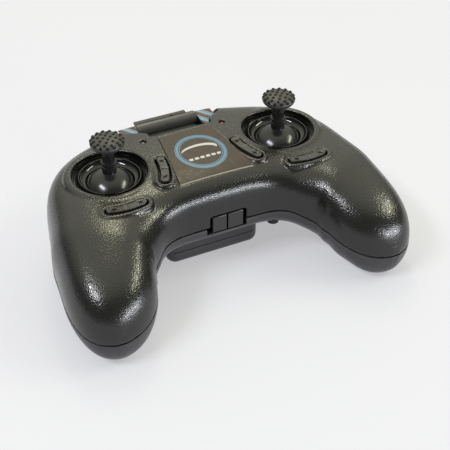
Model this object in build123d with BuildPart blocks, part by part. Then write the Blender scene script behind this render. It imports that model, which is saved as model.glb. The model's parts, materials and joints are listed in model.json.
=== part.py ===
"""Hand-held radio transmitter with two sprung sticks, in millimetres.

+X is the user's right, +Y points away from the user and +Z is up.  The origin is at the middle of the
footprint, on the surface that the transmitter stands on.
"""
import math
import os

from build123d import *

os.makedirs("parts", exist_ok=True)

# ---- Driving dimensions ------------------------------------------------------------------------
STICK_X = 40.0  # each stick's distance from the middle plane
STICK_Y = 15.0
PIVOT_Z = 33.5  # height of both stick axes
DISH_R = 16.15  # round opening in the deck around each stick
WALL = 2.0
SEAM_GAP = 0.35  # shadow line between the two shells
BOARD_BOTTOM = 19.0
BOARD_TOP = 20.6
FAR = 200.0  # larger than the whole transmitter

SIDES = {"left": -1, "right": 1}

# Vertical sections of the body from the middle to the right grip's tip, mirrored for the left:
# inner (x, y), outer (x, y), seam height at both, top, bottom, squareness above and below the seam.
SECTIONS = [
    ((0, -14.0), (0, 52.3), 23.6, 24.0, 46.3, 14.0, 5.0, 3.5),
    ((12, -14.0), (13, 52.1), 23.7, 24.0, 46.1, 14.0, 5.0, 3.5),
    ((20, -14.6), (27.5, 48.5), 24.0, 23.5, 45.5, 13.5, 4.6, 3.2),
    ((27, -17.0), (43, 45.0), 24.2, 23.0, 44.9, 12.5, 4.0, 3.0),
    ((31.5, -20.5), (57.5, 37.0), 23.4, 22.0, 44.5, 11.0, 3.6, 2.8),
    ((35.2, -24.5), (67.3, 21.5), 21.9, 21.0, 44.0, 9.0, 3.3, 2.6),
    ((38.0, -29.0), (72.0, 3.0), 20.6, 19.6, 43.2, 6.5, 3.0, 2.4),
    ((39.8, -33.8), (75.2, -13.0), 19.6, 18.2, 41.2, 4.0, 2.8, 2.3),
    ((41.4, -38.9), (76.6, -26.5), 18.4, 16.6, 38.2, 2.0, 2.6, 2.2),
    ((44.2, -43.8), (76.4, -37.0), 16.8, 15.2, 34.8, 0.8, 2.5, 2.1),
    ((48.6, -48.2), (74.0, -45.2), 15.0, 14.0, 30.2, 0.8, 2.4, 2.1),
    ((53.5, -50.9), (70.4, -49.6), 13.8, 13.4, 25.2, 3.2, 2.3, 2.0),
    ((57.8, -52.3), (66.6, -51.8), 13.3, 13.2, 20.0, 6.2, 2.2, 2.0),
    ((60.5, -52.9), (64.3, -52.8), 13.3, 13.2, 16.6, 10.0, 2.1, 2.0),
]
ARC_STEPS = 11


# ---- Body form ---------------------------------------------------------------------------------
def section_plane(section, side):
    """Upright plane through a section, with its x axis from the inner to the outer edge."""
    inner, outer = section[0], section[1]
    run_x = side * (outer[0] - inner[0])
    run_y = outer[1] - inner[1]
    return Plane(origin=(side * inner[0], inner[1], 0), x_dir=(run_x, run_y, 0), z_dir=(run_y, -run_x, 0))


def section_arc(section, upper, inset, drop):
    """Points over the upper or lower arc of a section, as (distance from the inner edge, height)."""
    inner, outer, seam_in, seam_out, top, bottom, power_top, power_bottom = section
    width = math.dist(inner, outer)
    power = power_top if upper else power_bottom
    points = []
    for step in range(ARC_STEPS + 1):
        angle = math.pi * step / ARC_STEPS
        across = -math.copysign(abs(math.cos(angle)) ** (2 / power), math.cos(angle))
        rise = abs(math.sin(angle)) ** (2 / power)
        distance = width / 2 + across * (width / 2 - inset)
        seam = seam_in + (seam_out - seam_in) * distance / width - drop
        target = top - inset if upper else bottom + inset
        points.append((distance, seam + (target - seam) * rise))
    return points


def half_body(upper, inset=0.0, drop=0.0, trim_ends=0):
    """Solid above or below the seam, shrunk by inset, with its seam lowered by drop."""
    half = SECTIONS[: len(SECTIONS) - trim_ends]
    placed = [(section, -1) for section in reversed(half[1:])] + [(section, 1) for section in half]
    with BuildPart() as body:
        for section, side in placed:
            points = section_arc(section, upper, inset, drop)
            with BuildSketch(section_plane(section, side)):
                with BuildLine():
                    Spline(*points)
                    Line(points[-1], points[0])
                make_face()
        loft()
    return body.part


CAVITY_ENDS = 1  # sections left solid at each grip's tip
CAVITY_PAST_SEAM = 1.0
top_outer = half_body(True)
top_cavity = half_body(True, inset=WALL, drop=CAVITY_PAST_SEAM, trim_ends=CAVITY_ENDS)
bottom_outer = half_body(False, drop=SEAM_GAP)
bottom_cavity = half_body(False, inset=WALL, drop=-CAVITY_PAST_SEAM, trim_ends=CAVITY_ENDS)


def finish(part, name):
    """Label a piece and write its file."""
    part.label = name
    export_step(part, f"parts/{name}.step")


# ---- Trim rockers: shared outline --------------------------------------------------------------
TRIM_WIDTH = 4.0
TRIM_GAP = 0.5
TRIM_PROUD = 0.5
TRIM_FLANGE_DROP = 3.1  # from the pad's top to the hidden flange's top
TRIM_FLANGE = 0.9
TRIM_FLANGE_WIDTH = 5.8
TRIM_RELIEF_WIDTH = 6.6
TRIM_ROCK_ROOM = 0.8  # over the flange, for its ends to rise
TRIM_PAD_WIDTH = 8.6
PAD_HEIGHT = 2.4
TRIM_DIMPLE_AT = 5.8
# Arc centre, arc radius, middle direction (degrees), half length and pad height of the right pair.
TRIMS = {
    "vertical": ((57.5, 16.0), 40.0, 195.4, 7.4, 45.9),
    "horizontal": ((41.8, 14.0), 24.5, 270.0, 7.0, 44.1),
}


def trim_arc(kind, side, extra=0.0):
    """Arc (centre, radius, start, sweep) of a trim's middle line, longer by extra at both ends."""
    centre, radius, middle, half_length, _ = TRIMS[kind]
    half_sweep = math.degrees((half_length + extra) / radius)
    if side < 0:
        middle = 180.0 - middle
    return (side * centre[0], centre[1]), radius, middle - half_sweep, 2 * half_sweep


def trim_slot(kind, side, width, extra=0.0):
    """Banana-shaped outline of a trim in the current sketch."""
    centre, radius, start, sweep = trim_arc(kind, side, extra)
    arc = Edge.make_circle(radius, Plane(centre), start, start + sweep)
    SlotArc(arc, width)


def trim_point(kind, side, along=0.0, outward=0.0):
    """Point on a trim's middle line, at a distance along it and further out from its centre."""
    centre, radius, middle, _, _ = TRIMS[kind]
    if side < 0:
        middle = 180.0 - middle
    angle = math.radians(middle) + along / radius
    reach = radius + outward
    return side * centre[0] + reach * math.cos(angle), centre[1] + reach * math.sin(angle)


# ---- Housing fasteners and openings ------------------------------------------------------------
SCREW_SEATS = [(60.0, -36.0, 8.0), (54.5, 32.0, 16.8), (25.0, -10.9, 17.2)]  # x, y, head seat height
HEAD_R = 2.6
HEAD_H = 1.8
SHANK_R = 1.1
SHANK_LENGTH = 13.0
RECESS_R = 3.0
BOSS_R = 2.6
RECESS_WALL = 1.2

LED_X = 19.1
LED_Y = 29.1
LED_R = 1.15
LED_TOP = 45.2

BEZEL_FLANGE_R = 18.0  # hidden rim of each dish, under the deck
BEZEL_LIP_TOP = 40.8
RELIEF = 0.2

COLLAR_R = 19.8  # outer edge of the raised ring around each dish
COLLAR_BASE = 42.4
COLLAR_TOP = 44.75

SHELF_Z = 39.3  # lowered tongue behind the deck
SHELF_FLOOR = 2.0
SHELF_OUTLINE = [(0, 30.5), (13.5, 30.5), (14.8, 34.5), (23.5, 41.0), (23.5, 60.0)]
SHELF_BLOCK = [(0, 28.6), (14.9, 28.6), (16.5, 32.8), (25.5, 39.4), (25.5, 60.0)]
POCKET_X = 14.8
POCKET_WALL = 1.7
POCKET_FLOOR_Z = 33.3
POCKET_FRONT = 31.0

BAR_Y = 49.5  # phone rest: axis of the bar
BAR_Z = 37.6
BAR_R = 3.3
BAR_HALF = 14.6
REST_PIN_R = 0.8
REST_PIN_HALF = 16.3

LABEL_OUTLINE = [(-16.8, -6.6), (16.8, -6.6), (12.2, 28.2), (-12.2, 28.2)]
LABEL_GAP = 0.12
LABEL_DEPTH = 0.4
LABEL_PROUD = 0.2

KEY_NOTCH = (-8.4, 10.4)  # cut in the lower shell
KEY_SLOT = (-6.4, 10.4)  # cut in the upper shell
KEY_TOP = 29.0
KEY_BOTTOM = 21.2
KEY_NOTCH_Z = 20.6
KEY_TOP_GAP = 0.2
KEYS = {"left": (-5.6, 1.0), "right": (1.5, 8.8)}

SHOULDER_AT = (44.0, 44.3, 33.0)
SHOULDER_TURN = 23.6  # degrees that the button's normal leans outwards from +Y
SHOULDER_SIZE = (15.0, 7.0)
SHOULDER_GAP = 0.35
SHOULDER_PROUD = 0.7
SHOULDER_DEPTH = 2.9
SHOULDER_RIM = 0.8


def mirrored(outline):
    """Closed outline symmetric about the Y axis, from its right half."""
    return outline + [(-x, y) for x, y in reversed(outline)]


def shoulder_plane(side):
    """Plane across a shoulder button, with its z axis pointing out of the housing."""
    turn = math.radians(SHOULDER_TURN)
    x, y, z = SHOULDER_AT
    out = (side * math.sin(turn), math.cos(turn), 0)
    return Plane(origin=(side * x, y, z), x_dir=(-math.cos(turn), side * math.sin(turn), 0), z_dir=out)


def screw_places():
    """Every housing screw as (x, y, seat height)."""
    return [(side * x, y, seat) for side in SIDES.values() for x, y, seat in SCREW_SEATS]


# ---- Upper shell -------------------------------------------------------------------------------
BOARD_POST_R = 1.2
TRIM_BOARD_EXTRA = 4.6  # beyond the slot's half length, where the posts stand
TRIM_BOARD_DROP = 6.6  # from the pad's top to the small board's top

with BuildPart() as top_blocks:
    with BuildSketch(Plane.XY.offset(SHELF_Z - SHELF_FLOOR)):
        Polygon(*mirrored(SHELF_BLOCK), align=None)
    extrude(amount=FAR)
    with BuildSketch(Plane.XY.offset(POCKET_FLOOR_Z - SHELF_FLOOR)):
        with Locations((0, POCKET_FRONT - SHELF_FLOOR)):
            Rectangle(2 * (POCKET_X + POCKET_WALL), FAR, align=(Align.CENTER, Align.MIN))
    extrude(amount=SHELF_Z - POCKET_FLOOR_Z)
    for x, y, _ in screw_places():
        with Locations((x, y, 0)):
            Cylinder(BOSS_R, FAR, align=(Align.CENTER, Align.CENTER, Align.MIN))
    for side in SIDES.values():
        for kind, (_, _, _, half_length, pad_z) in TRIMS.items():
            for end in (-1, 1):
                post = trim_point(kind, side, end * (half_length + TRIM_BOARD_EXTRA))
                with Locations((*post, pad_z - TRIM_BOARD_DROP)):
                    Cylinder(BOARD_POST_R, FAR, align=(Align.CENTER, Align.CENTER, Align.MIN))
    add(top_outer, mode=Mode.INTERSECT)

with BuildPart() as top_raised:
    for side in SIDES.values():
        with BuildSketch(Plane((side * STICK_X, STICK_Y, 0), x_dir=(1, 0, 0), z_dir=(0, -1, 0))):
            with BuildLine():
                Polyline(
                    (COLLAR_R, COLLAR_BASE + 1.0),
                    (COLLAR_R, COLLAR_BASE),
                    (DISH_R - 0.5, COLLAR_BASE),
                    (DISH_R - 0.5, COLLAR_TOP),
                    (DISH_R + 0.9, COLLAR_TOP),
                )
                Spline((DISH_R + 0.9, COLLAR_TOP), (COLLAR_R, COLLAR_BASE + 1.0), tangents=((1, 0), (0.6, -1)))
            make_face()
        revolve(axis=Axis((side * STICK_X, STICK_Y, 0), (0, 0, 1)))
        for kind, (_, _, _, _, pad_z) in TRIMS.items():
            with BuildSketch(Plane.XY.offset(pad_z)):
                trim_slot(kind, side, TRIM_PAD_WIDTH)
            extrude(amount=-PAD_HEIGHT, taper=-12)

with BuildPart() as top_openings:
    for side in SIDES.values():
        with Locations((side * STICK_X, STICK_Y, 36.0)):
            Cylinder(DISH_R, FAR, align=(Align.CENTER, Align.CENTER, Align.MIN))
        with Locations((side * STICK_X, STICK_Y, BEZEL_LIP_TOP + RELIEF)):
            Cylinder(BEZEL_FLANGE_R + RELIEF, 6.0, align=(Align.CENTER, Align.CENTER, Align.MAX))
        with Locations((side * LED_X, LED_Y, 41.5)):
            Cylinder(LED_R + 0.15, FAR, align=(Align.CENTER, Align.CENTER, Align.MIN))
        for kind, (_, _, _, _, pad_z) in TRIMS.items():
            with BuildSketch(Plane.XY.offset(pad_z - TRIM_FLANGE_DROP + TRIM_ROCK_ROOM)):
                trim_slot(kind, side, TRIM_WIDTH + 2 * TRIM_GAP)
            extrude(amount=FAR)
            with BuildSketch(Plane.XY.offset(pad_z - TRIM_FLANGE_DROP + TRIM_ROCK_ROOM)):
                trim_slot(kind, side, TRIM_RELIEF_WIDTH)
            extrude(amount=-4.0)
        with BuildSketch(shoulder_plane(side)):
            RectangleRounded(SHOULDER_SIZE[0] + 2 * SHOULDER_GAP, SHOULDER_SIZE[1] + 2 * SHOULDER_GAP, 2.2)
        extrude(amount=6.0, both=True)
    # Slots around the two front keys
    with Locations(((KEY_SLOT[0] + KEY_SLOT[1]) / 2, -8.0, 0)):
        slot_size = (KEY_SLOT[1] - KEY_SLOT[0], 20.0, KEY_TOP + KEY_TOP_GAP)
        Box(*slot_size, align=(Align.CENTER, Align.MAX, Align.MIN))
    # Lowered tongue behind the deck, and the pocket in it
    with BuildSketch(Plane.XY.offset(SHELF_Z)):
        Polygon(*mirrored(SHELF_OUTLINE), align=None)
    extrude(amount=FAR)
    with Locations((0, POCKET_FRONT, POCKET_FLOOR_Z)):
        Box(2 * POCKET_X, 40.0, FAR, align=(Align.CENTER, Align.MIN, Align.MIN))
    with Locations(Plane((0, BAR_Y, BAR_Z), x_dir=(0, 1, 0), z_dir=(1, 0, 0))):
        Cylinder(REST_PIN_R, 2 * REST_PIN_HALF)
    for x, y, seat in screw_places():
        with Locations((x, y, seat)):
            Cylinder(SHANK_R, SHANK_LENGTH, align=(Align.CENTER, Align.CENTER, Align.MIN))

label_skin = half_body(True, inset=LABEL_DEPTH)
with BuildPart() as label_recess:
    with BuildSketch(Plane.XY.offset(40.0)):
        Polygon(*LABEL_OUTLINE, align=None)
        offset(amount=LABEL_GAP, kind=Kind.INTERSECTION)
    extrude(amount=10.0)
    add(label_skin, mode=Mode.SUBTRACT)

with BuildPart() as top_shell:
    add(top_outer)
    add(top_cavity, mode=Mode.SUBTRACT)
    add(top_blocks.part)
    add(top_raised.part)
    add(top_openings.part, mode=Mode.SUBTRACT)
    add(label_recess.part, mode=Mode.SUBTRACT)
finish(top_shell.part, "top_shell")

with BuildPart() as label_plate:
    with BuildSketch(Plane.XY.offset(40.0)):
        Polygon(*LABEL_OUTLINE, align=None)
    extrude(amount=10.0)
    add(half_body(True, inset=-LABEL_PROUD), mode=Mode.INTERSECT)
    add(label_skin, mode=Mode.SUBTRACT)
finish(label_plate.part, "label_plate")

# ---- Battery box and lower shell ---------------------------------------------------------------
BOX_X = 22.0
BOX_FRONT = -4.0
BOX_REAR = 50.0
BOX_CORNER = 4.5
BOX_WALL = 1.6
BOX_SEAM_Z = 7.0
BOX_WALL_TOP = 18.6
BAY_REAR = 45.4
PARTITION = 1.2
CELL_PITCH = 13.2
CELL_Z = 8.2
CELL_R = 5.25
CELL_BODY = 43.7
CELL_NUB_R = 1.9
CELL_NUB = 0.8
CELL_FRONT = 0.5
DIVIDER = 1.0
DIVIDER_BOTTOM = 3.5
DIVIDER_TOP = 15.0
COVER_EDGE_R = 3.8
COVER_FLOOR = 1.8
COVER_WALL = 1.2
COVER_SCREW_Y = 47.7
COVER_BOSS_R = 2.3
COVER_PILLAR_R = 2.3
COVER_SCREW_SEAT = 2.8
COVER_SCREW_R = 0.85
COVER_HEAD_R = 1.7
COVER_SHANK = 8.2
BOARD_SCREWS = [(side * 14.5, y) for side in SIDES.values() for y in (-3.0, 29.0)]
BOARD_BOSS_R = 2.3
BOARD_SHANK_R = 0.8
UP = (Align.CENTER, Align.CENTER, Align.MIN)
DOWN = (Align.CENTER, Align.CENTER, Align.MAX)


def box_outline(inset):
    """Rounded plan of the battery box in the current sketch, smaller by inset all round."""
    with Locations((0, (BOX_FRONT + BOX_REAR) / 2)):
        RectangleRounded(2 * (BOX_X - inset), BOX_REAR - BOX_FRONT - 2 * inset, BOX_CORNER - inset)


with BuildPart() as lower_bosses:
    for x, y, seat in screw_places():
        with Locations((x, y, 0)):
            Cylinder(RECESS_R + RECESS_WALL, seat + HEAD_H, align=UP)
            Cylinder(BOSS_R, FAR, align=UP)
    for x, y in BOARD_SCREWS:
        with Locations((x, y, 0)):
            Cylinder(BOARD_BOSS_R, BOARD_BOTTOM, align=UP)
    add(bottom_outer, mode=Mode.INTERSECT)

with BuildPart() as lower_box:
    with BuildSketch(Plane.XY.offset(BOX_SEAM_Z)):
        box_outline(0)
    extrude(amount=BOX_WALL_TOP - BOX_SEAM_Z)
    with BuildSketch(Plane.XY.offset(BOX_SEAM_Z)):
        box_outline(BOX_WALL)
    extrude(amount=BOX_WALL_TOP - BOX_SEAM_Z, mode=Mode.SUBTRACT)
    with Locations((0, BAY_REAR, BOX_SEAM_Z)):
        partition_align = (Align.CENTER, Align.MIN, Align.MIN)
        Box(2 * (BOX_X - BOX_WALL), PARTITION, BOX_WALL_TOP - BOX_SEAM_Z, align=partition_align)
    with Locations((0, COVER_SCREW_Y, BOX_SEAM_Z)):
        Cylinder(COVER_BOSS_R, BOX_WALL_TOP - BOX_SEAM_Z, align=UP)
    for side in SIDES.values():
        with Locations((side * CELL_PITCH / 2, BOX_FRONT + BOX_WALL, DIVIDER_BOTTOM)):
            divider_size = (DIVIDER, BAY_REAR - BOX_FRONT - BOX_WALL, DIVIDER_TOP - DIVIDER_BOTTOM)
            Box(*divider_size, align=(Align.CENTER, Align.MIN, Align.MIN))

with BuildPart() as bottom_openings:
    for x, y, seat in screw_places():
        with Locations((x, y, seat)):
            Cylinder(RECESS_R, FAR, align=DOWN)
            Cylinder(SHANK_R + 0.15, FAR, align=UP)
    for x, y in BOARD_SCREWS:
        with Locations((x, y, BOARD_BOTTOM)):
            Cylinder(BOARD_SHANK_R, 3.5, align=DOWN)
    with Locations((0, COVER_SCREW_Y, BOX_SEAM_Z)):
        Cylinder(COVER_SCREW_R + 0.1, 6.0, align=UP)
    with Locations(((KEY_NOTCH[0] + KEY_NOTCH[1]) / 2, -8.0, KEY_NOTCH_Z)):
        Box(KEY_NOTCH[1] - KEY_NOTCH[0], 20.0, 20.0, align=(Align.CENTER, Align.MAX, Align.MIN))

with BuildPart() as bottom_shell:
    add(bottom_outer)
    add(bottom_cavity, mode=Mode.SUBTRACT)
    add(lower_bosses.part)
    add(lower_box.part)
    add(bottom_openings.part, mode=Mode.SUBTRACT)
finish(bottom_shell.part, "bottom_shell")

COVER_TOP = BOX_SEAM_Z - SEAM_GAP
with BuildPart() as battery_cover:
    with BuildSketch(Plane.XY):
        box_outline(0)
    extrude(amount=COVER_TOP)
    fillet(battery_cover.faces().sort_by(Axis.Z)[0].edges(), COVER_EDGE_R)
    with BuildSketch(Plane.XY.offset(COVER_FLOOR)):
        box_outline(COVER_WALL)
        with Locations((0, COVER_SCREW_Y)):
            Circle(COVER_PILLAR_R, mode=Mode.SUBTRACT)
    extrude(amount=COVER_TOP, mode=Mode.SUBTRACT)
    with Locations((0, COVER_SCREW_Y, COVER_SCREW_SEAT)):
        Cylinder(COVER_HEAD_R + 0.2, FAR, align=DOWN, mode=Mode.SUBTRACT)
        Cylinder(COVER_SCREW_R + 0.1, FAR, align=UP, mode=Mode.SUBTRACT)
finish(battery_cover.part, "battery_cover")


def screw(x, y, seat, head_r, head_h, shank_r, shank_length):
    """Countersunk-free pan screw with a cross recess, its head below seat and its shank above."""
    with Locations((x, y, seat)):
        Cylinder(head_r, head_h, align=DOWN)
        Cylinder(shank_r, shank_length, align=UP)
    with Locations((x, y, seat - head_h)):
        Box(head_r * 1.2, 0.5, 1.4, mode=Mode.SUBTRACT)
        Box(0.5, head_r * 1.2, 1.4, mode=Mode.SUBTRACT)


with BuildPart() as housing_screws:
    for x, y, seat in screw_places():
        screw(x, y, seat, HEAD_R, HEAD_H, SHANK_R, SHANK_LENGTH)
finish(housing_screws.part, "housing_screws")

with BuildPart() as battery_cover_screw:
    screw(0, COVER_SCREW_Y, COVER_SCREW_SEAT, COVER_HEAD_R, 1.4, COVER_SCREW_R, COVER_SHANK)
finish(battery_cover_screw.part, "battery_cover_screw")

# ---- Cells and their contacts ------------------------------------------------------------------
for name, column in {"left": -1, "middle": 0, "right": 1}.items():
    nub_rear = column != 0
    with BuildPart() as cell:
        with BuildSketch(Plane.XZ.offset(-CELL_FRONT - (0 if nub_rear else CELL_NUB))):
            with Locations((column * CELL_PITCH, CELL_Z)):
                Circle(CELL_R)
        extrude(amount=-CELL_BODY)
        fillet(cell.edges(), 0.5)
        with BuildSketch(Plane.XZ.offset(-CELL_FRONT - (CELL_BODY if nub_rear else 0))):
            with Locations((column * CELL_PITCH, CELL_Z)):
                Circle(CELL_NUB_R)
        extrude(amount=-CELL_NUB)
    finish(cell.part, f"battery_cell_{name}")

CONTACT_WIDTH = 8.5
CONTACT_BOTTOM = 7.2
CONTACT_HEIGHT = 5.2
CONTACT_PLATE = 0.4
SPRING_BIG_R = 3.6
SPRING_SMALL_R = 1.8
SPRING_WIRE = 0.5
SPRING_LENGTH = CELL_FRONT - BOX_FRONT - BOX_WALL - CONTACT_PLATE
with BuildPart() as battery_plates:
    for column in (-1, 0, 1):
        for y in (BAY_REAR - CONTACT_PLATE / 2, BOX_FRONT + BOX_WALL + CONTACT_PLATE / 2):
            with Locations((column * CELL_PITCH, y, CONTACT_BOTTOM)):
                Box(CONTACT_WIDTH, CONTACT_PLATE, CONTACT_HEIGHT, align=UP)
finish(battery_plates.part, "battery_plates")

with BuildPart() as battery_springs:
    for column in (-1, 0, 1):
        base = Plane((column * CELL_PITCH, BOX_FRONT + BOX_WALL + CONTACT_PLATE, CELL_Z), z_dir=(0, 1, 0))
        with Locations(base):
            Cone(SPRING_BIG_R, SPRING_SMALL_R, SPRING_LENGTH, align=UP)
            hollow = (SPRING_BIG_R - SPRING_WIRE, SPRING_SMALL_R - SPRING_WIRE, SPRING_LENGTH)
            Cone(*hollow, align=UP, mode=Mode.SUBTRACT)
finish(battery_springs.part, "battery_springs")

# ---- Main board --------------------------------------------------------------------------------
BOARD_X = 48.0
BOARD_FRONT = -6.0
BOARD_REAR = 32.0
BOARD_TAB_X = 11.0
BOARD_TAB_FRONT = -8.5
with BuildPart() as main_board:
    with BuildSketch(Plane.XY.offset(BOARD_BOTTOM)):
        with Locations((0, (BOARD_FRONT + BOARD_REAR) / 2)):
            RectangleRounded(2 * BOARD_X, BOARD_REAR - BOARD_FRONT, 3.0)
        with Locations((0, BOARD_TAB_FRONT)):
            Rectangle(2 * BOARD_TAB_X, 6.0, align=(Align.CENTER, Align.MIN))
        with Locations(BOARD_SCREWS):
            Circle(BOARD_SHANK_R + 0.2, mode=Mode.SUBTRACT)
    extrude(amount=BOARD_TOP - BOARD_BOTTOM)
finish(main_board.part, "main_board")

with BuildPart() as board_screws:
    for x, y in BOARD_SCREWS:
        with Locations((x, y, BOARD_TOP)):
            Cylinder(1.9, 1.3, align=UP)
            Cylinder(BOARD_SHANK_R, BOARD_TOP - BOARD_BOTTOM + 3.5, align=DOWN)
finish(board_screws.part, "board_screws")

# x, y, width, depth and height of each packaged component on the board
COMPONENTS = [(0, 12.0, 10.0, 10.0, 1.6), (-11.0, 22.0, 12.0, 8.0, 1.2), (10.0, 24.0, 5.0, 3.2, 2.4), (9.0, 1.0, 4.4, 4.4, 3.0)]
with BuildPart() as board_components:
    for x, y, width, depth, height in COMPONENTS:
        with Locations((x, y, BOARD_TOP)):
            Box(width, depth, height, align=UP)
    chamfer(board_components.edges().filter_by(Axis.Z), 0.4)
finish(board_components.part, "board_components")

with BuildPart() as buzzer:
    with Locations((-10.0, 4.0, BOARD_TOP)):
        Cylinder(4.5, 4.0, align=UP)
    fillet(buzzer.edges().group_by(Axis.Z)[-1], 0.5)
    with Locations((-10.0, 4.0, BOARD_TOP + 4.0)):
        Cylinder(0.9, 1.5, align=DOWN, mode=Mode.SUBTRACT)
finish(buzzer.part, "buzzer")

ANTENNA_R = 0.6
ANTENNA_PATH = [(-4.0, 30.5, BOARD_TOP), (-4.0, 30.5, 26.0), (14.0, 27.5, 26.0)]
with BuildPart() as antenna:
    with BuildLine():
        FilletPolyline(*ANTENNA_PATH, radius=2.0)
    with BuildSketch(Plane.XY.offset(BOARD_TOP)):
        with Locations(ANTENNA_PATH[0][:2]):
            Circle(ANTENNA_R)
    sweep()
finish(antenna.part, "antenna")

with BuildPart() as key_switches:
    for left, right in KEYS.values():
        middle = (left + right) / 2
        with Locations((middle, -10.1, BOARD_TOP)):
            Box(4.6, 3.6, 3.8, align=(Align.CENTER, Align.MIN, Align.MIN))
        with Locations(Plane((middle, -10.1, BOARD_TOP + 2.0), z_dir=(0, -1, 0))):
            Cylinder(0.9, 0.9, align=UP)
finish(key_switches.part, "key_switches")

LAMPS = {"left_status_led": -1, "right_status_led": 1}
LED_FLANGE_Z = 40.0
for name, side in LAMPS.items():
    with BuildPart() as led:
        with Locations((side * LED_X, LED_Y, LED_FLANGE_Z)):
            Cylinder(LED_R, LED_TOP - LED_FLANGE_Z, align=UP)
        fillet(led.edges().group_by(Axis.Z)[-1], LED_R * 0.8)
        with Locations((side * LED_X, LED_Y, LED_FLANGE_Z)):
            Cylinder(LED_R + 0.5, 1.0, align=UP)
        for lead in (-0.6, 0.6):
            with Locations((side * LED_X + lead, LED_Y, BOARD_TOP)):
                Cylinder(0.22, LED_FLANGE_Z - BOARD_TOP + 0.5, align=UP)
    finish(led.part, name)

# ---- Stick units -------------------------------------------------------------------------------
BEZEL_OUTER_R = 16.0
BEZEL_OUTER_TOP = 42.6
GROOVE_R = 14.7
GROOVE_Z = 40.9
CREST_R = 13.1
CREST_Z = 43.0
BEZEL_BOTTOM = 39.7
APERTURE_R = 10.6
APERTURE_Z = 40.6
APERTURE_UNDERCUT = 0.7
DOME_R = 12.1
DOME_WALL = 1.2
DOME_HALF_ANGLE = 57.0
RING_R = 9.8
RING_BORE_R = 7.0
RING_HALF_H = 1.8
YOKE_PIN_R = 1.5
YOKE_PIN_END = 16.6
STICK_PIN_R = 1.2
STICK_PIN_END = 9.1
RUNNING_CLEARANCE = 0.05
POST_IN = 14.0
POST_OUT = 16.5
BASE_X = 17.5
BASE_Y = 14.0
BASE_PLATE = 1.8
COLUMN_AT = 11.67
COLUMN_R = 2.0
TAIL_R = 2.0
TAIL_LENGTH = 6.5
HUB_R = 4.2
HUB_HALF_H = 3.5
NECK_R = 2.6
BOSS_STEM_R = 3.1
COLLAR_Z = 47.4  # foot of the two raised rings on the stem
RING_STEM_R = 3.35
RING_PITCH = 1.9
STEM_R = 2.75
STEM_TOP = 55.6
CAP_R = 7.4
CAP_RIM_Z = 60.0
CAP_TOP = 62.3
CAP_SPHERE_R = (CAP_R**2 + (CAP_TOP - CAP_RIM_Z) ** 2) / (2 * (CAP_TOP - CAP_RIM_Z))
STUD_R = 0.58
STUD_PROUD = 0.5
# radius on the cap, count and lean of each ring of studs
STUD_RINGS = [(3.1, 7), (5.5, 12)]
RIM_STUDS = 16


def ring_profile(foot):
    """Points up one rounded ring on a stem, as (radius, height)."""
    low, high = RING_STEM_R - 0.35, RING_STEM_R
    crest, waist = foot + RING_PITCH - 0.7, foot + RING_PITCH - 0.5
    return [(high, foot), (high, crest), (low, waist), (low, foot + RING_PITCH - 0.1)]


def stick_axis(side):
    """Vertical axis through a stick's middle."""
    return Axis((side * STICK_X, STICK_Y, 0), (0, 0, 1))


def stick_section(side):
    """Upright plane through a stick's vertical axis, with z as its y axis."""
    return Plane((side * STICK_X, STICK_Y, 0), x_dir=(1, 0, 0), z_dir=(0, -1, 0))


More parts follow.
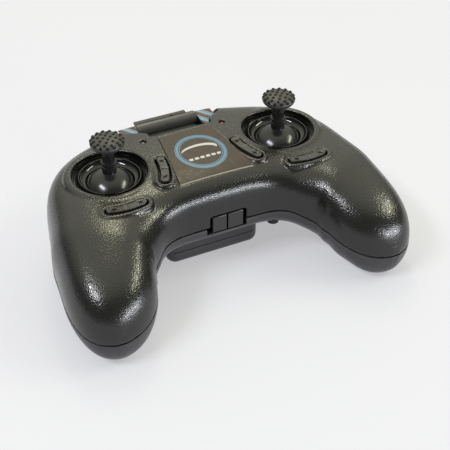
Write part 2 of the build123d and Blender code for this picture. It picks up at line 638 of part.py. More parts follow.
for name, side in SIDES.items():
    centre = (side * STICK_X, STICK_Y)

    with BuildPart() as bezel:
        with BuildSketch(stick_section(side)):
            with BuildLine():
                bowl = ThreePointArc((APERTURE_R, APERTURE_Z), (12.15, 41.55), (CREST_R - 0.15, CREST_Z))
                groove = ThreePointArc((CREST_R + 0.15, CREST_Z), (13.75, 41.4), (GROOVE_R, GROOVE_Z))
                Line(bowl @ 1, groove @ 0)
                Polyline(
                    groove @ 1,
                    (BEZEL_OUTER_R - 0.3, GROOVE_Z),
                    (BEZEL_OUTER_R - 0.1, BEZEL_OUTER_TOP),
                    (BEZEL_OUTER_R, BEZEL_OUTER_TOP),
                    (BEZEL_OUTER_R, BEZEL_LIP_TOP),
                    (BEZEL_FLANGE_R, BEZEL_LIP_TOP),
                    (BEZEL_FLANGE_R, BEZEL_BOTTOM),
                    (APERTURE_R + APERTURE_UNDERCUT, BEZEL_BOTTOM),
                    bowl @ 0,
                )
            make_face()
        revolve(axis=stick_axis(side))
    finish(bezel.part, f"{name}_bezel")

    with BuildPart() as gimbal_base:
        with BuildSketch(Plane.XY.offset(BOARD_TOP)):
            with Locations(centre):
                RectangleRounded(2 * BASE_X, 2 * BASE_Y, 2.0)
                Circle(7.0, mode=Mode.SUBTRACT)
        extrude(amount=BASE_PLATE)
        for end in (-1, 1):
            with Locations((centre[0] + end * (POST_IN + POST_OUT) / 2, centre[1], BOARD_TOP)):
                Box(POST_OUT - POST_IN, 8.0, PIVOT_Z + 3.0 - BOARD_TOP, align=UP)
            for turn in (-1, 1):
                with Locations((centre[0] + end * COLUMN_AT, centre[1] + turn * COLUMN_AT, BOARD_TOP)):
                    Cylinder(COLUMN_R, BEZEL_BOTTOM - BOARD_TOP, align=UP)
        with Locations(Plane((*centre, PIVOT_Z), z_dir=(1, 0, 0))):
            Cylinder(YOKE_PIN_R + RUNNING_CLEARANCE, 4 * BASE_X, mode=Mode.SUBTRACT)
    finish(gimbal_base.part, f"{name}_gimbal_base")

    with BuildPart() as yoke:
        with Locations((*centre, PIVOT_Z)):
            Cylinder(RING_R, 2 * RING_HALF_H)
            Box(2 * RING_R, 2 * 9.3, 2 * RING_HALF_H, mode=Mode.INTERSECT)
        with Locations(Plane((*centre, PIVOT_Z), z_dir=(1, 0, 0))):
            Cylinder(YOKE_PIN_R, 2 * YOKE_PIN_END)
        with Locations((*centre, PIVOT_Z)):
            Cylinder(RING_BORE_R, 4 * RING_HALF_H, mode=Mode.SUBTRACT)
        with Locations(Plane((*centre, PIVOT_Z), z_dir=(0, 1, 0))):
            Cylinder(STICK_PIN_R + RUNNING_CLEARANCE, 4 * RING_R, mode=Mode.SUBTRACT)
    finish(yoke.part, f"{name}_gimbal_yoke")

    with BuildPart() as yoke_pot:
        with Locations((centre[0], centre[1] + 9.3, PIVOT_Z)):
            Box(8.0, 2.6, 6.0, align=(Align.CENTER, Align.MIN, Align.CENTER))
        chamfer(yoke_pot.edges().filter_by(Axis.Y), 0.8)
    finish(yoke_pot.part, f"{name}_yoke_potentiometer")

    with BuildPart() as base_pot:
        with Locations((centre[0] + side * (YOKE_PIN_END + 0.2), centre[1], BOARD_TOP + BASE_PLATE)):
            block_align = (Align.MIN if side > 0 else Align.MAX, Align.CENTER, Align.MIN)
            Box(3.5, 10.0, PIVOT_Z + 3.5 - BOARD_TOP - BASE_PLATE, align=block_align)
        chamfer(base_pot.edges().filter_by(Axis.X), 1.0)
        add(gimbal_base.part, mode=Mode.SUBTRACT)
    finish(base_pot.part, f"{name}_base_potentiometer")

    with BuildPart() as stick:
        with BuildSketch(stick_section(side)):
            with BuildLine():
                Polyline(
                    (0, PIVOT_Z - TAIL_LENGTH),
                    (TAIL_R, PIVOT_Z - TAIL_LENGTH),
                    (TAIL_R, PIVOT_Z - HUB_HALF_H),
                    (HUB_R, PIVOT_Z - HUB_HALF_H),
                    (HUB_R, PIVOT_Z + HUB_HALF_H),
                    (NECK_R, PIVOT_Z + HUB_HALF_H),
                    (NECK_R, COLLAR_Z - 2.6),
                    (BOSS_STEM_R, COLLAR_Z - 2.2),
                    (BOSS_STEM_R, COLLAR_Z - 0.2),
                    *ring_profile(COLLAR_Z),
                    *ring_profile(COLLAR_Z + RING_PITCH),
                    (STEM_R, COLLAR_Z + 2 * RING_PITCH),
                    (STEM_R, STEM_TOP),
                    (0, STEM_TOP),
                    close=True,
                )
            make_face()
            with BuildLine():
                start = 90.0 - DOME_HALF_ANGLE
                outside = CenterArc((0, PIVOT_Z), DOME_R, start, DOME_HALF_ANGLE)
                inside = CenterArc((0, PIVOT_Z), DOME_R - DOME_WALL, start, DOME_HALF_ANGLE)
                Line(outside @ 0, inside @ 0)
                Line(outside @ 1, inside @ 1)
            make_face()
        revolve(axis=stick_axis(side))
        with Locations(Plane((*centre, PIVOT_Z), z_dir=(0, 1, 0))):
            Cylinder(STICK_PIN_R, 2 * STICK_PIN_END)
    finish(stick.part, f"{name}_stick")

    with BuildPart() as cap:
        with BuildSketch(stick_section(side)):
            with BuildLine():
                skirt = ThreePointArc((STEM_R, STEM_TOP), (5.9, 57.2), (CAP_R, CAP_RIM_Z))
                crown = CenterArc(
                    (0, CAP_TOP - CAP_SPHERE_R),
                    CAP_SPHERE_R,
                    90.0 - math.degrees(math.asin(CAP_R / CAP_SPHERE_R)),
                    math.degrees(math.asin(CAP_R / CAP_SPHERE_R)),
                )
                Polyline(crown @ 1, (0, STEM_TOP), skirt @ 0)
            make_face()
        revolve(axis=stick_axis(side))
    finish(cap.part, f"{name}_stick_cap")

    with BuildPart() as studs:
        middle = Vector(*centre, CAP_TOP - CAP_SPHERE_R)
        for ring_r, count in STUD_RINGS:
            lean = math.asin(ring_r / CAP_SPHERE_R)
            for index in range(count):
                turn = 2 * math.pi * index / count
                out = Vector(math.sin(lean) * math.cos(turn), math.sin(lean) * math.sin(turn), math.cos(lean))
                with Locations(Plane(middle + out * (CAP_SPHERE_R - STUD_PROUD), z_dir=out)):
                    Cone(STUD_R, STUD_R * 0.6, 2 * STUD_PROUD, align=UP)
        for index in range(RIM_STUDS):
            turn = 2 * math.pi * (index + 0.5) / RIM_STUDS
            out = Vector(0.9 * math.cos(turn), 0.9 * math.sin(turn), 0.436)
            reach = CAP_R - 0.75
            base = (centre[0] + reach * math.cos(turn), centre[1] + reach * math.sin(turn), CAP_RIM_Z - 0.15)
            with Locations(Plane(base, z_dir=out)):
                Cone(STUD_R, STUD_R * 0.6, 1.3, align=UP)
        add(cap.part, mode=Mode.SUBTRACT)
    finish(studs.part, f"{name}_cap_studs")

# ---- Trim rockers ------------------------------------------------------------------------------
TRIM_BOARD = 1.0
SWITCH_SIZE = 3.4
SWITCH_H = 1.2
PLUNGER_R = 0.8
PLUNGER_H = 0.5
SWITCH_AT = 5.2

for name, side in SIDES.items():
    for kind, (centre, radius, _, half_length, pad_z) in TRIMS.items():
        flange_top = pad_z - TRIM_FLANGE_DROP
        with BuildPart() as rocker:
            with BuildSketch(Plane.XY.offset(flange_top - TRIM_FLANGE)):
                trim_slot(kind, side, TRIM_FLANGE_WIDTH)
            extrude(amount=TRIM_FLANGE)
            with BuildSketch(Plane.XY.offset(flange_top)):
                trim_slot(kind, side, TRIM_WIDTH)
            extrude(amount=TRIM_FLANGE_DROP + TRIM_PROUD)
            fillet(rocker.edges().group_by(Axis.Z)[-1], 0.35)
            for along in (-TRIM_DIMPLE_AT, TRIM_DIMPLE_AT):
                with Locations((*trim_point(kind, side, along), pad_z + TRIM_PROUD)):
                    Cylinder(0.45, 0.9, mode=Mode.SUBTRACT)
            groove = Vector(*trim_point(kind, side), pad_z + TRIM_PROUD)
            lean = math.degrees(math.atan2(groove.Y - centre[1], groove.X - side * centre[0]))
            with Locations(Plane(groove).rotated((0, 0, lean))):
                Box(TRIM_WIDTH - 0.9, 0.25, 0.3, mode=Mode.SUBTRACT)
        finish(rocker.part, f"{name}_{kind}_trim")

with BuildPart() as trim_boards:
    for side in SIDES.values():
        for kind, (_, _, _, _, pad_z) in TRIMS.items():
            with BuildSketch(Plane.XY.offset(pad_z - TRIM_BOARD_DROP)):
                trim_slot(kind, side, 4.4, extra=TRIM_BOARD_EXTRA - 0.4)
            extrude(amount=-TRIM_BOARD)
finish(trim_boards.part, "trim_boards")

with BuildPart() as trim_switches:
    for side in SIDES.values():
        for kind, (_, _, _, _, pad_z) in TRIMS.items():
            for along in (-SWITCH_AT, SWITCH_AT):
                with Locations((*trim_point(kind, side, along), pad_z - TRIM_BOARD_DROP)):
                    Box(SWITCH_SIZE, SWITCH_SIZE, SWITCH_H, align=UP)
                    Cylinder(PLUNGER_R, SWITCH_H + PLUNGER_H, align=UP)
finish(trim_switches.part, "trim_switches")

# ---- Front keys --------------------------------------------------------------------------------
KEY_FRONT = -14.2
KEY_THICKNESS = 2.1
for name, (left, right) in KEYS.items():
    with BuildPart() as key:
        with Locations(((left + right) / 2, KEY_FRONT, KEY_BOTTOM)):
            key_align = (Align.CENTER, Align.MIN, Align.MIN)
            Box(right - left, KEY_THICKNESS, KEY_TOP - KEY_BOTTOM, align=key_align)
        fillet(key.faces().sort_by(Axis.Y)[0].edges(), 0.35)
    finish(key.part, f"{name}_front_key")

# ---- Shoulder buttons --------------------------------------------------------------------------
shoulder_skin = half_body(True, inset=-SHOULDER_PROUD)
shoulder_stop = half_body(True, inset=WALL + 0.3, drop=CAVITY_PAST_SEAM, trim_ends=CAVITY_ENDS)
shoulder_back = half_body(True, inset=SHOULDER_DEPTH + 0.1, drop=CAVITY_PAST_SEAM, trim_ends=CAVITY_ENDS)
for name, side in SIDES.items():
    place = shoulder_plane(side)
    with BuildPart() as shoulder:
        with BuildSketch(place):
            RectangleRounded(*SHOULDER_SIZE, 1.9)
        extrude(amount=6.0, both=True)
        add(shoulder_skin, mode=Mode.INTERSECT)
        add(shoulder_back, mode=Mode.SUBTRACT)
    with BuildPart() as shoulder_rim:
        with BuildSketch(place):
            RectangleRounded(SHOULDER_SIZE[0] + 2 * SHOULDER_RIM, SHOULDER_SIZE[1] + 2 * SHOULDER_RIM, 2.7)
        extrude(amount=6.0, both=True)
        add(shoulder_stop, mode=Mode.INTERSECT)
        add(shoulder_back, mode=Mode.SUBTRACT)
    with BuildPart() as shoulder_button:
        add(shoulder.part)
        add(shoulder_rim.part)
        with Locations(place.offset(-SHOULDER_DEPTH + 1.0)):
            Cylinder(1.5, 3.0, align=DOWN)
    finish(shoulder_button.part, f"{name}_shoulder_button")

with BuildPart() as shoulder_switches:
    for side in SIDES.values():
        with Locations(shoulder_plane(side).offset(-6.8)):
            Box(6.0, 6.0, 3.4, align=DOWN)
            Cylinder(1.2, 0.9, align=UP)
finish(shoulder_switches.part, "shoulder_switches")

with BuildPart() as shoulder_boards:
    for side in SIDES.values():
        with Locations(shoulder_plane(side).offset(-10.2)):
            Box(12.0, 12.0, 1.2, align=DOWN)
finish(shoulder_boards.part, "shoulder_boards")

# ---- Phone rest --------------------------------------------------------------------------------
LIP_LEFT = -BAR_HALF
LIP_RIGHT = 10.6
LIP_FRONT = 50.3
LIP_REAR = 52.9
LIP_BOTTOM = 39.8
LIP_TOP = 41.0
PANEL_X = 13.0
PANEL_FRONT = 33.0
PANEL_BOTTOM = 34.6
PANEL_TOP = 36.2

with BuildPart() as phone_rest_lip:
    with Locations(((LIP_LEFT + LIP_RIGHT) / 2, LIP_FRONT, LIP_BOTTOM)):
        Box(LIP_RIGHT - LIP_LEFT, LIP_REAR - LIP_FRONT, LIP_TOP - LIP_BOTTOM, align=(Align.CENTER, Align.MIN, Align.MIN))
    chamfer(phone_rest_lip.edges().filter_by(Axis.X), 0.3)
    with Locations((3.4, LIP_FRONT, LIP_TOP)):
        Box(1.6, 1.2, 1.2, mode=Mode.SUBTRACT)
finish(phone_rest_lip.part, "phone_rest_lip")

with BuildPart() as phone_rest:
    with Locations(Plane((0, BAR_Y, BAR_Z), z_dir=(1, 0, 0))):
        Cylinder(BAR_R, 2 * BAR_HALF)
    fillet(phone_rest.edges(), 0.4)
    with Locations((0, PANEL_FRONT, PANEL_BOTTOM)):
        panel_align = (Align.CENTER, Align.MIN, Align.MIN)
        Box(2 * PANEL_X, BAR_Y - PANEL_FRONT, PANEL_TOP - PANEL_BOTTOM, align=panel_align)
        Box(2 * PANEL_X, 1.4, 3.0, align=panel_align)
    with Locations((LIP_LEFT - 1.0, LIP_FRONT, LIP_BOTTOM)):
        lip_room = (LIP_RIGHT - LIP_LEFT + 1.0, 10.0, 10.0)
        Box(*lip_room, align=(Align.MIN, Align.MIN, Align.MIN), mode=Mode.SUBTRACT)
    with Locations(Plane((0, BAR_Y, BAR_Z), z_dir=(1, 0, 0))):
        Cylinder(REST_PIN_R + RUNNING_CLEARANCE, 4 * BAR_HALF, mode=Mode.SUBTRACT)
finish(phone_rest.part, "phone_rest")

with BuildPart() as phone_rest_pin:
    with Locations(Plane((0, BAR_Y, BAR_Z), z_dir=(1, 0, 0))):
        Cylinder(REST_PIN_R, 2 * REST_PIN_HALF)
finish(phone_rest_pin.part, "phone_rest_pin")

WING_OUTLINE = [(15.1, 35.9), (22.9, 41.6), (22.9, 51.0), (15.1, 51.4)]
WING_THICKNESS = 0.3
for name, side in SIDES.items():
    with BuildPart() as wing:
        with BuildSketch(Plane.XY.offset(SHELF_Z)):
            Polygon(*[(side * x, y) for x, y in WING_OUTLINE], align=None)
        extrude(amount=WING_THICKNESS)
    finish(wing.part, f"{name}_wing_plate")
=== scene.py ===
"""Looks for the hand-held radio transmitter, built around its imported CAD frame, in metres."""

import json
import math

import bmesh
import bpy
from mathutils import Matrix, Vector


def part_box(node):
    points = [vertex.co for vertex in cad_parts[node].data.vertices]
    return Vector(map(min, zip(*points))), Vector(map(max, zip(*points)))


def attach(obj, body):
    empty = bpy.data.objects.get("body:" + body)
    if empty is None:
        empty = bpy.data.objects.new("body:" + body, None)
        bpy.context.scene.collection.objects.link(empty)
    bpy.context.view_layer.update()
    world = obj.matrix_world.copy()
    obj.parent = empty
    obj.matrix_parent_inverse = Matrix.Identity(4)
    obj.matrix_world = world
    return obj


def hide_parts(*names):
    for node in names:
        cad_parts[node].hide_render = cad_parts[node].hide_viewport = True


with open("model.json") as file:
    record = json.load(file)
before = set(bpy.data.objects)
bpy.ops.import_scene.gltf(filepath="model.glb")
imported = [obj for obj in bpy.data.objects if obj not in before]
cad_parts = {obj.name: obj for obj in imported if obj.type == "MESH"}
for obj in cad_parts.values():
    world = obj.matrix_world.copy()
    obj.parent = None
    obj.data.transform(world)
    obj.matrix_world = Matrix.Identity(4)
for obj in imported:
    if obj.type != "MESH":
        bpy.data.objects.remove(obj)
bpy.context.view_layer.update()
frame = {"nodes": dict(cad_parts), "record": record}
NODES = frame["nodes"]
MM = 0.001
SIDES = ("left", "right")


# ---- Materials ---------------------------------------------------------------------------------
class Shader:
    """One procedural material, with short calls for the nodes that the looks are built from."""

    def __init__(self, name, **sockets):
        self.mat = bpy.data.materials.new(name)
        self.mat.use_nodes = True
        self.tree = self.mat.node_tree
        self.bsdf = self.tree.nodes["Principled BSDF"]
        for key, value in sockets.items():
            self.bsdf.inputs[key.replace("_", " ")].default_value = value
        self.coords = self.tree.nodes.new("ShaderNodeTexCoord").outputs["Object"]

    def node(self, kind, settings=None, **inputs):
        """New shader node; inputs are values, or sockets to link."""
        made = self.tree.nodes.new(kind)
        for key, value in (settings or {}).items():
            setattr(made, key, value)
        for key, value in inputs.items():
            socket = made.inputs[key.replace("_", " ")]
            if isinstance(value, bpy.types.NodeSocket):
                self.tree.links.new(value, socket)
            else:
                socket.default_value = value
        return made

    def noise(self, size, detail=3.0):
        """Cloudy value from 0 to 1, with patches of about this size."""
        made = self.node("ShaderNodeTexNoise", Vector=self.coords, Scale=1 / size, Detail=detail)
        return made.outputs["Fac"]

    def cell_edges(self, size, vector):
        """Distance to the nearest cell wall, in cells of about this size."""
        made = self.node("ShaderNodeTexVoronoi", {"feature": "DISTANCE_TO_EDGE"}, Vector=vector)
        made.inputs["Scale"].default_value = 1 / size
        return made.outputs["Distance"]

    def math(self, operation, first, second=None):
        made = self.node("ShaderNodeMath", {"operation": operation})
        for index, value in enumerate((first, second)):
            if isinstance(value, bpy.types.NodeSocket):
                self.tree.links.new(value, made.inputs[index])
            elif value is not None:
                made.inputs[index].default_value = value
        return made.outputs[0]

    def ramp(self, value, low, high, to_low=0.0, to_high=1.0):
        """Smooth step of value from low to high."""
        made = self.node("ShaderNodeMapRange", {"interpolation_type": "SMOOTHSTEP"}, Value=value)
        for key, number in (("From Min", low), ("From Max", high), ("To Min", to_low), ("To Max", to_high)):
            made.inputs[key].default_value = number
        return made.outputs["Result"]

    def mix(self, factor, first, second):
        made = self.node("ShaderNodeMix", {"data_type": "RGBA"})
        for index, value in ((0, factor), (6, first), (7, second)):
            if isinstance(value, bpy.types.NodeSocket):
                self.tree.links.new(value, made.inputs[index])
            else:
                made.inputs[index].default_value = value if index == 0 else (*value, 1.0)
        return made.outputs[2]

    def normal_z(self):
        """How far the surface faces up, from -1 to 1."""
        normal = self.node("ShaderNodeTexCoord").outputs["Normal"]
        return self.node("ShaderNodeSeparateXYZ", Vector=normal).outputs["Z"]

    def axes(self):
        split = self.node("ShaderNodeSeparateXYZ", Vector=self.coords)
        return split.outputs["X"], split.outputs["Y"], split.outputs["Z"]

    def edges(self):
        """1 on sharp outward edges, 0 elsewhere."""
        return self.ramp(self.node("ShaderNodeNewGeometry").outputs["Pointiness"], 0.52, 0.6)

    def bump(self, height, distance, strength):
        made = self.node("ShaderNodeBump", Height=height, Distance=distance, Strength=strength)
        return made.outputs["Normal"]

    def use(self, socket, value):
        self.tree.links.new(value, self.bsdf.inputs[socket])


NOISE_RANGE = (0.3, 0.7)  # most values of a noise lie between these
MOTTLE_SIZE = 9 * MM
SHEEN_PATCH = 4 * MM
FINE_TEXTURE = 0.35 * MM
TEXTURE_HEIGHT = 0.02 * MM


def moulded(name, colour, rough, grain=0.35, wear=0.35, spread=0.12, **sockets):
    """Moulded plastic: faint colour mottling, fine texture in gloss and relief, lighter worn edges."""
    made = Shader(name, **sockets)
    dark = tuple(channel * 0.82 for channel in colour)
    light = tuple(channel * 1.22 for channel in colour)
    worn = tuple(min(1.0, channel * 1.6 + 0.02) for channel in colour)
    mottled = made.mix(made.noise(MOTTLE_SIZE), dark, light)
    made.use("Base Color", made.mix(made.math("MULTIPLY", made.edges(), wear), mottled, worn))
    gloss = made.ramp(made.noise(SHEEN_PATCH, 5), *NOISE_RANGE, rough - spread / 2, rough + spread / 2)
    made.use("Roughness", gloss)
    made.use("Normal", made.bump(made.noise(FINE_TEXTURE, 2), TEXTURE_HEIGHT, grain))
    return made


PEBBLE_SIZE = 1.05 * MM
PEBBLE_HEIGHT = 0.038 * MM
DRIFT_SIZE = 1.1 * MM
DRIFT_REACH = 0.7 * MM  # how far the pebbles' walls wander
FINE_GRAIN = 0.45 * MM
COLOUR_PATCH = 14 * MM
SATIN_PATCH = 3 * MM
FACING_UP = (0.08, 0.42)  # upward part of the normal where the grain begins and where it is full


def leather_plastic(name, colour):
    """Black plastic with a pebbled leather grain on surfaces that face up, and satin sides."""
    made = Shader(name, Specular_IOR_Level=0.6)
    upward = made.ramp(made.normal_z(), *FACING_UP)
    drift = made.node("ShaderNodeTexNoise", Vector=made.coords, Scale=1 / DRIFT_SIZE, Detail=2.0)
    warped = made.node("ShaderNodeVectorMath", {"operation": "MULTIPLY_ADD"})
    made.tree.links.new(drift.outputs["Color"], warped.inputs[0])
    warped.inputs[1].default_value = (DRIFT_REACH,) * 3
    made.tree.links.new(made.coords, warped.inputs[2])
    pebble = made.ramp(made.cell_edges(PEBBLE_SIZE, warped.outputs[0]), 0.0, 0.3)
    fine = made.noise(FINE_GRAIN)
    relief = made.math("MULTIPLY", made.math("ADD", pebble, made.math("MULTIPLY", fine, 0.2)), upward)
    smooth = made.math("MULTIPLY", fine, 0.12)
    made.use("Normal", made.bump(made.math("ADD", relief, smooth), PEBBLE_HEIGHT, 0.75))
    patches = made.math("MULTIPLY", made.noise(COLOUR_PATCH, 4), 0.3)
    crests = made.math("ADD", made.math("MULTIPLY", relief, 0.85), patches)
    dark = tuple(channel * 0.35 for channel in colour)
    light = tuple(channel * 1.9 for channel in colour)
    worn = tuple(channel * 2.2 for channel in colour)
    grained = made.mix(crests, dark, light)
    made.use("Base Color", made.mix(made.math("MULTIPLY", made.edges(), 0.3), grained, worn))
    satin = made.ramp(made.noise(SATIN_PATCH, 4), *NOISE_RANGE, 0.2, 0.25)
    pits = made.ramp(pebble, 0.15, 0.75, 0.31, 0.12)
    share = made.math("MULTIPLY", upward, 0.9)
    rest = made.math("MULTIPLY", satin, made.math("SUBTRACT", 1.0, share))
    made.use("Roughness", made.math("ADD", made.math("MULTIPLY", pits, share), rest))
    return made


PLATING_PATCH = 2 * MM
SCRATCH_SIZE = 0.8 * MM
METAL_GRAIN = 0.2 * MM
METAL_GRAIN_HEIGHT = 0.01 * MM


def metal(name, colour, rough):
    """Plated metal with fine scratches and uneven shine."""
    made = Shader(name, Metallic=1.0)
    dull = tuple(channel * 0.7 for channel in colour)
    made.use("Base Color", made.mix(made.noise(PLATING_PATCH, 5), dull, colour))
    made.use("Roughness", made.ramp(made.noise(SCRATCH_SIZE, 6), *NOISE_RANGE, rough * 0.7, rough * 1.4))
    made.use("Normal", made.bump(made.noise(METAL_GRAIN, 2), METAL_GRAIN_HEIGHT, 0.3))
    return made


WEAVE_PITCH = 1.3 * MM
WEAVE_HEIGHT = 0.01 * MM
WEAVE_DARK, WEAVE_LIGHT = (0.008, 0.0068, 0.0058), (0.06, 0.046, 0.036)
FLECK_SIZE = 1.1 * MM
RUST = (0.085, 0.034, 0.022)
VARNISH_PATCH = 2.5 * MM


def weave(made):
    """Woven colour with threads running diagonally, and the weave's height."""
    x, y, _ = made.axes()
    along = made.math("FRACT", made.math("DIVIDE", made.math("ADD", x, y), WEAVE_PITCH))
    across = made.math("FRACT", made.math("DIVIDE", made.math("SUBTRACT", x, y), WEAVE_PITCH))
    check = made.math("ABSOLUTE", made.math("SUBTRACT", made.math("GREATER_THAN", along, 0.5), across))
    return made.mix(check, WEAVE_DARK, WEAVE_LIGHT), check


def printed(name, draw):
    """Printed sheet: a fine brown weave with rust flecks, then the print of draw."""
    made = Shader(name, Specular_IOR_Level=0.3)
    woven, check = weave(made)
    flecks = made.ramp(made.noise(FLECK_SIZE, 2), 0.5, 0.66, 0.0, 0.7)
    made.use("Base Color", draw(made, made.mix(flecks, woven, RUST)))
    made.use("Roughness", made.ramp(made.noise(VARNISH_PATCH, 4), *NOISE_RANGE, 0.32, 0.44))
    made.use("Normal", made.bump(check, WEAVE_HEIGHT, 0.4))
    return made


def between(made, value, low, high, soft):
    """1 where value is from low to high, fading to 0 over soft at each end."""
    rise = made.ramp(value, low - soft, low + soft)
    fall = made.ramp(value, high - soft, high + soft, 1.0, 0.0)
    return made.math("MULTIPLY", rise, fall)


def bands(made, value, base, table):
    """The base colour with each row of table laid over it: from, to, softness and colour."""
    for low, high, soft, colour in table:
        base = made.mix(between(made, value, low, high, soft), base, colour)
    return base


def oval(made, centre, radii):
    """How far out a point is from centre, 1 on the oval's line."""
    x, y, _ = made.axes()
    across = made.math("DIVIDE", made.math("SUBTRACT", x, centre[0] * MM), radii[0] * MM)
    along = made.math("DIVIDE", made.math("SUBTRACT", y, centre[1] * MM), radii[1] * MM)
    squares = made.math("ADD", made.math("POWER", across, 2.0), made.math("POWER", along, 2.0))
    return made.math("SQRT", squares)


def ring_print(made, base):
    """Three pale blue rings with a plain white crescent and dashes inside, and a painted highlight along the
    front edge.
    """
    x, y, _ = made.axes()
    outwards = oval(made, RING_CENTRE, RING_RADII)
    print_colour = bands(made, outwards, base, RINGS)
    disc = made.ramp(oval(made, DISC_CENTRE, DISC_RADII), 0.97, 1.03, 1.0, 0.0)
    beyond_bite = made.ramp(oval(made, BITE_CENTRE, BITE_RADII), 0.97, 1.03)
    crescent = made.math("MULTIPLY", disc, beyond_bite)
    bar = between(made, y, *BAR_ALONG, BAR_SOFTNESS)
    dashes = made.math("GREATER_THAN", made.math("FRACT", made.math("DIVIDE", x, DASH_PITCH)), 0.3)
    bar = made.math("MULTIPLY", bar, dashes)
    bar = made.math("MULTIPLY", bar, made.ramp(outwards, 0.74, 0.78, 1.0, 0.0))
    white = made.math("MAXIMUM", crescent, bar)
    print_colour = made.mix(white, print_colour, PRINT_WHITE)
    # painted highlight: the label's front edge is lightened as if it caught the light
    painted_edge_highlight = made.ramp(y, LABEL_FRONT + 0.15 * MM, LABEL_FRONT + 0.5 * MM, 0.8, 0.0)
    return made.mix(painted_edge_highlight, print_colour, PAINTED_EDGE_HIGHLIGHT)


def streak_print(made, base):
    """Silver, pale blue and rust streaks that run diagonally."""
    x, y, _ = made.axes()
    slant = made.math("ADD", x, made.math("MULTIPLY", y, STREAK_SLANT))
    streak = made.math("FRACT", made.math("DIVIDE", slant, STREAK_PITCH))
    return bands(made, streak, base, STREAKS)


RING_CENTRE = (0.3, 10.6)
RING_RADII = (11.0, 12.3)
RINGS = [  # inner edge, outer edge and softness, as shares of the radii, then the colour
    (0.88, 0.965, 0.012, (0.095, 0.21, 0.3)),
    (0.985, 1.01, 0.01, (0.12, 0.25, 0.35)),
    (0.82, 0.845, 0.01, (0.1, 0.24, 0.34)),
]
DISC_CENTRE, DISC_RADII = (RING_CENTRE[0], 12.2), (8.2, 3.6)
BITE_CENTRE, BITE_RADII = (RING_CENTRE[0] - 0.8, 10.4), (8.4, 3.9)
BAR_ALONG = (5.4 * MM, 6.9 * MM)
BAR_SOFTNESS = 0.12 * MM
DASH_PITCH = 2.6 * MM
PRINT_WHITE = (0.45, 0.44, 0.42)
# colour of the painted highlight on the label's front edge
PAINTED_EDGE_HIGHLIGHT = (0.3, 0.3, 0.24)
STREAK_PITCH = 6.2 * MM
STREAK_SLANT = 0.7
STREAKS = [  # start, end and softness, as shares of the pitch, then the colour
    (0.3, 0.75, 0.04, (0.17, 0.2, 0.23)),
    (0.42, 0.6, 0.03, (0.13, 0.31, 0.46)),
    (0.8, 0.86, 0.02, (0.36, 0.38, 0.38)),
    (0.12, 0.17, 0.02, (0.3, 0.09, 0.04)),
]
LABEL_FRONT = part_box("label_plate")[0][1]
BLACK = (0.0052, 0.0052, 0.0043)
LOOKS = {
    "upper_housing": leather_plastic("upper_housing_grain", BLACK).mat,
    "lower_housing": moulded("lower_housing_satin", (0.026, 0.026, 0.028), 0.33).mat,
    "label": printed("label_print", ring_print).mat,
    "steel": metal("plated_steel", (0.6, 0.6, 0.58), 0.3).mat,
    "board": moulded("board_green", (0.03, 0.16, 0.07), 0.4).mat,
    "component": moulded("component_black", (0.025, 0.025, 0.027), 0.5).mat,
    "wire": moulded("wire_sleeve", (0.5, 0.46, 0.38), 0.45).mat,
    "cell": metal("cell_sleeve", (0.1, 0.2, 0.45), 0.25).mat,
    # dark plastic, lightened overall to paint in the sheen the phone rest shows
    "black_plastic": moulded("rest_dark_painted_sheen", (0.05, 0.05, 0.05), 0.3).mat,
    "grey_plastic": moulded("lip_dark", (0.012, 0.012, 0.013), 0.4).mat,
    "gloss_bezel": moulded("bezel_gloss", (0.005, 0.005, 0.005), 0.09, grain=0.05, spread=0.05).mat,
    "stick": moulded("stick_gloss", (0.011, 0.011, 0.0115), 0.2, grain=0.08, spread=0.06).mat,
    "cap": moulded("cap_satin", (0.028, 0.028, 0.026), 0.44).mat,
    # near-black, far darker than the cap, to paint the shade on the studs' sides
    "stud": moulded("stud_black_painted_shade", (0.003, 0.003, 0.0032), 0.6, Specular_IOR_Level=0.2).mat,
    "gimbal": moulded("gimbal_grey", (0.05, 0.05, 0.052), 0.5).mat,
    "key_plastic": moulded("key_satin", (0.016, 0.016, 0.0145), 0.34).mat,
    "clear_lens": moulded("lens_smoke", (0.25, 0.25, 0.26), 0.08, grain=0.02, Transmission_Weight=0.6).mat,
    "red_lens": moulded("lens_red", (0.5, 0.03, 0.015), 0.08, grain=0.02, Transmission_Weight=0.5).mat,
}
NODE_LOOKS = {
    "left_wing_plate": printed("left_wing_print", streak_print).mat,
    "right_wing_plate": printed("right_wing_print", streak_print).mat,
    # dark metal: the screws are darkened to paint the shade under the front edge, where a screw head shows
    "housing_screws": metal("screws_darkened_painted_shade", (0.05, 0.05, 0.052), 0.4).mat,
    "battery_cover_screw": metal("cover_screw_darkened_painted_shade", (0.05, 0.05, 0.052), 0.4).mat,
}
SLOTS = {part["node"]: part["material_slot"] for part in frame["record"]["subparts"]}
for name, node in NODES.items():
    for slot in node.material_slots:
        slot.material = NODE_LOOKS.get(name, LOOKS[SLOTS[name]])


# ---- Softened mouldings ------------------------------------------------------------------------
def soft_copy(name, node, body):
    """Copy of a moulded node with its points joined, standing for the node."""
    mesh = NODES[node].data.copy()
    mesh.name = name
    piece = bpy.data.objects.new(name, mesh)
    bpy.context.scene.collection.objects.link(piece)
    bm = bmesh.new()
    bm.from_mesh(mesh)
    bmesh.ops.remove_doubles(bm, verts=bm.verts, dist=JOIN_DISTANCE)
    bm.normal_update()
    bm.to_mesh(mesh)
    bm.free()
    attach(piece, body)
    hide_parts(node)
    return piece


def apply_modifiers(piece):
    """The piece's mesh with its modifiers worked in, and none left on it."""
    shaped = bpy.data.meshes.new_from_object(piece.evaluated_get(bpy.context.evaluated_depsgraph_get()))
    piece.modifiers.clear()
    piece.data = shaped


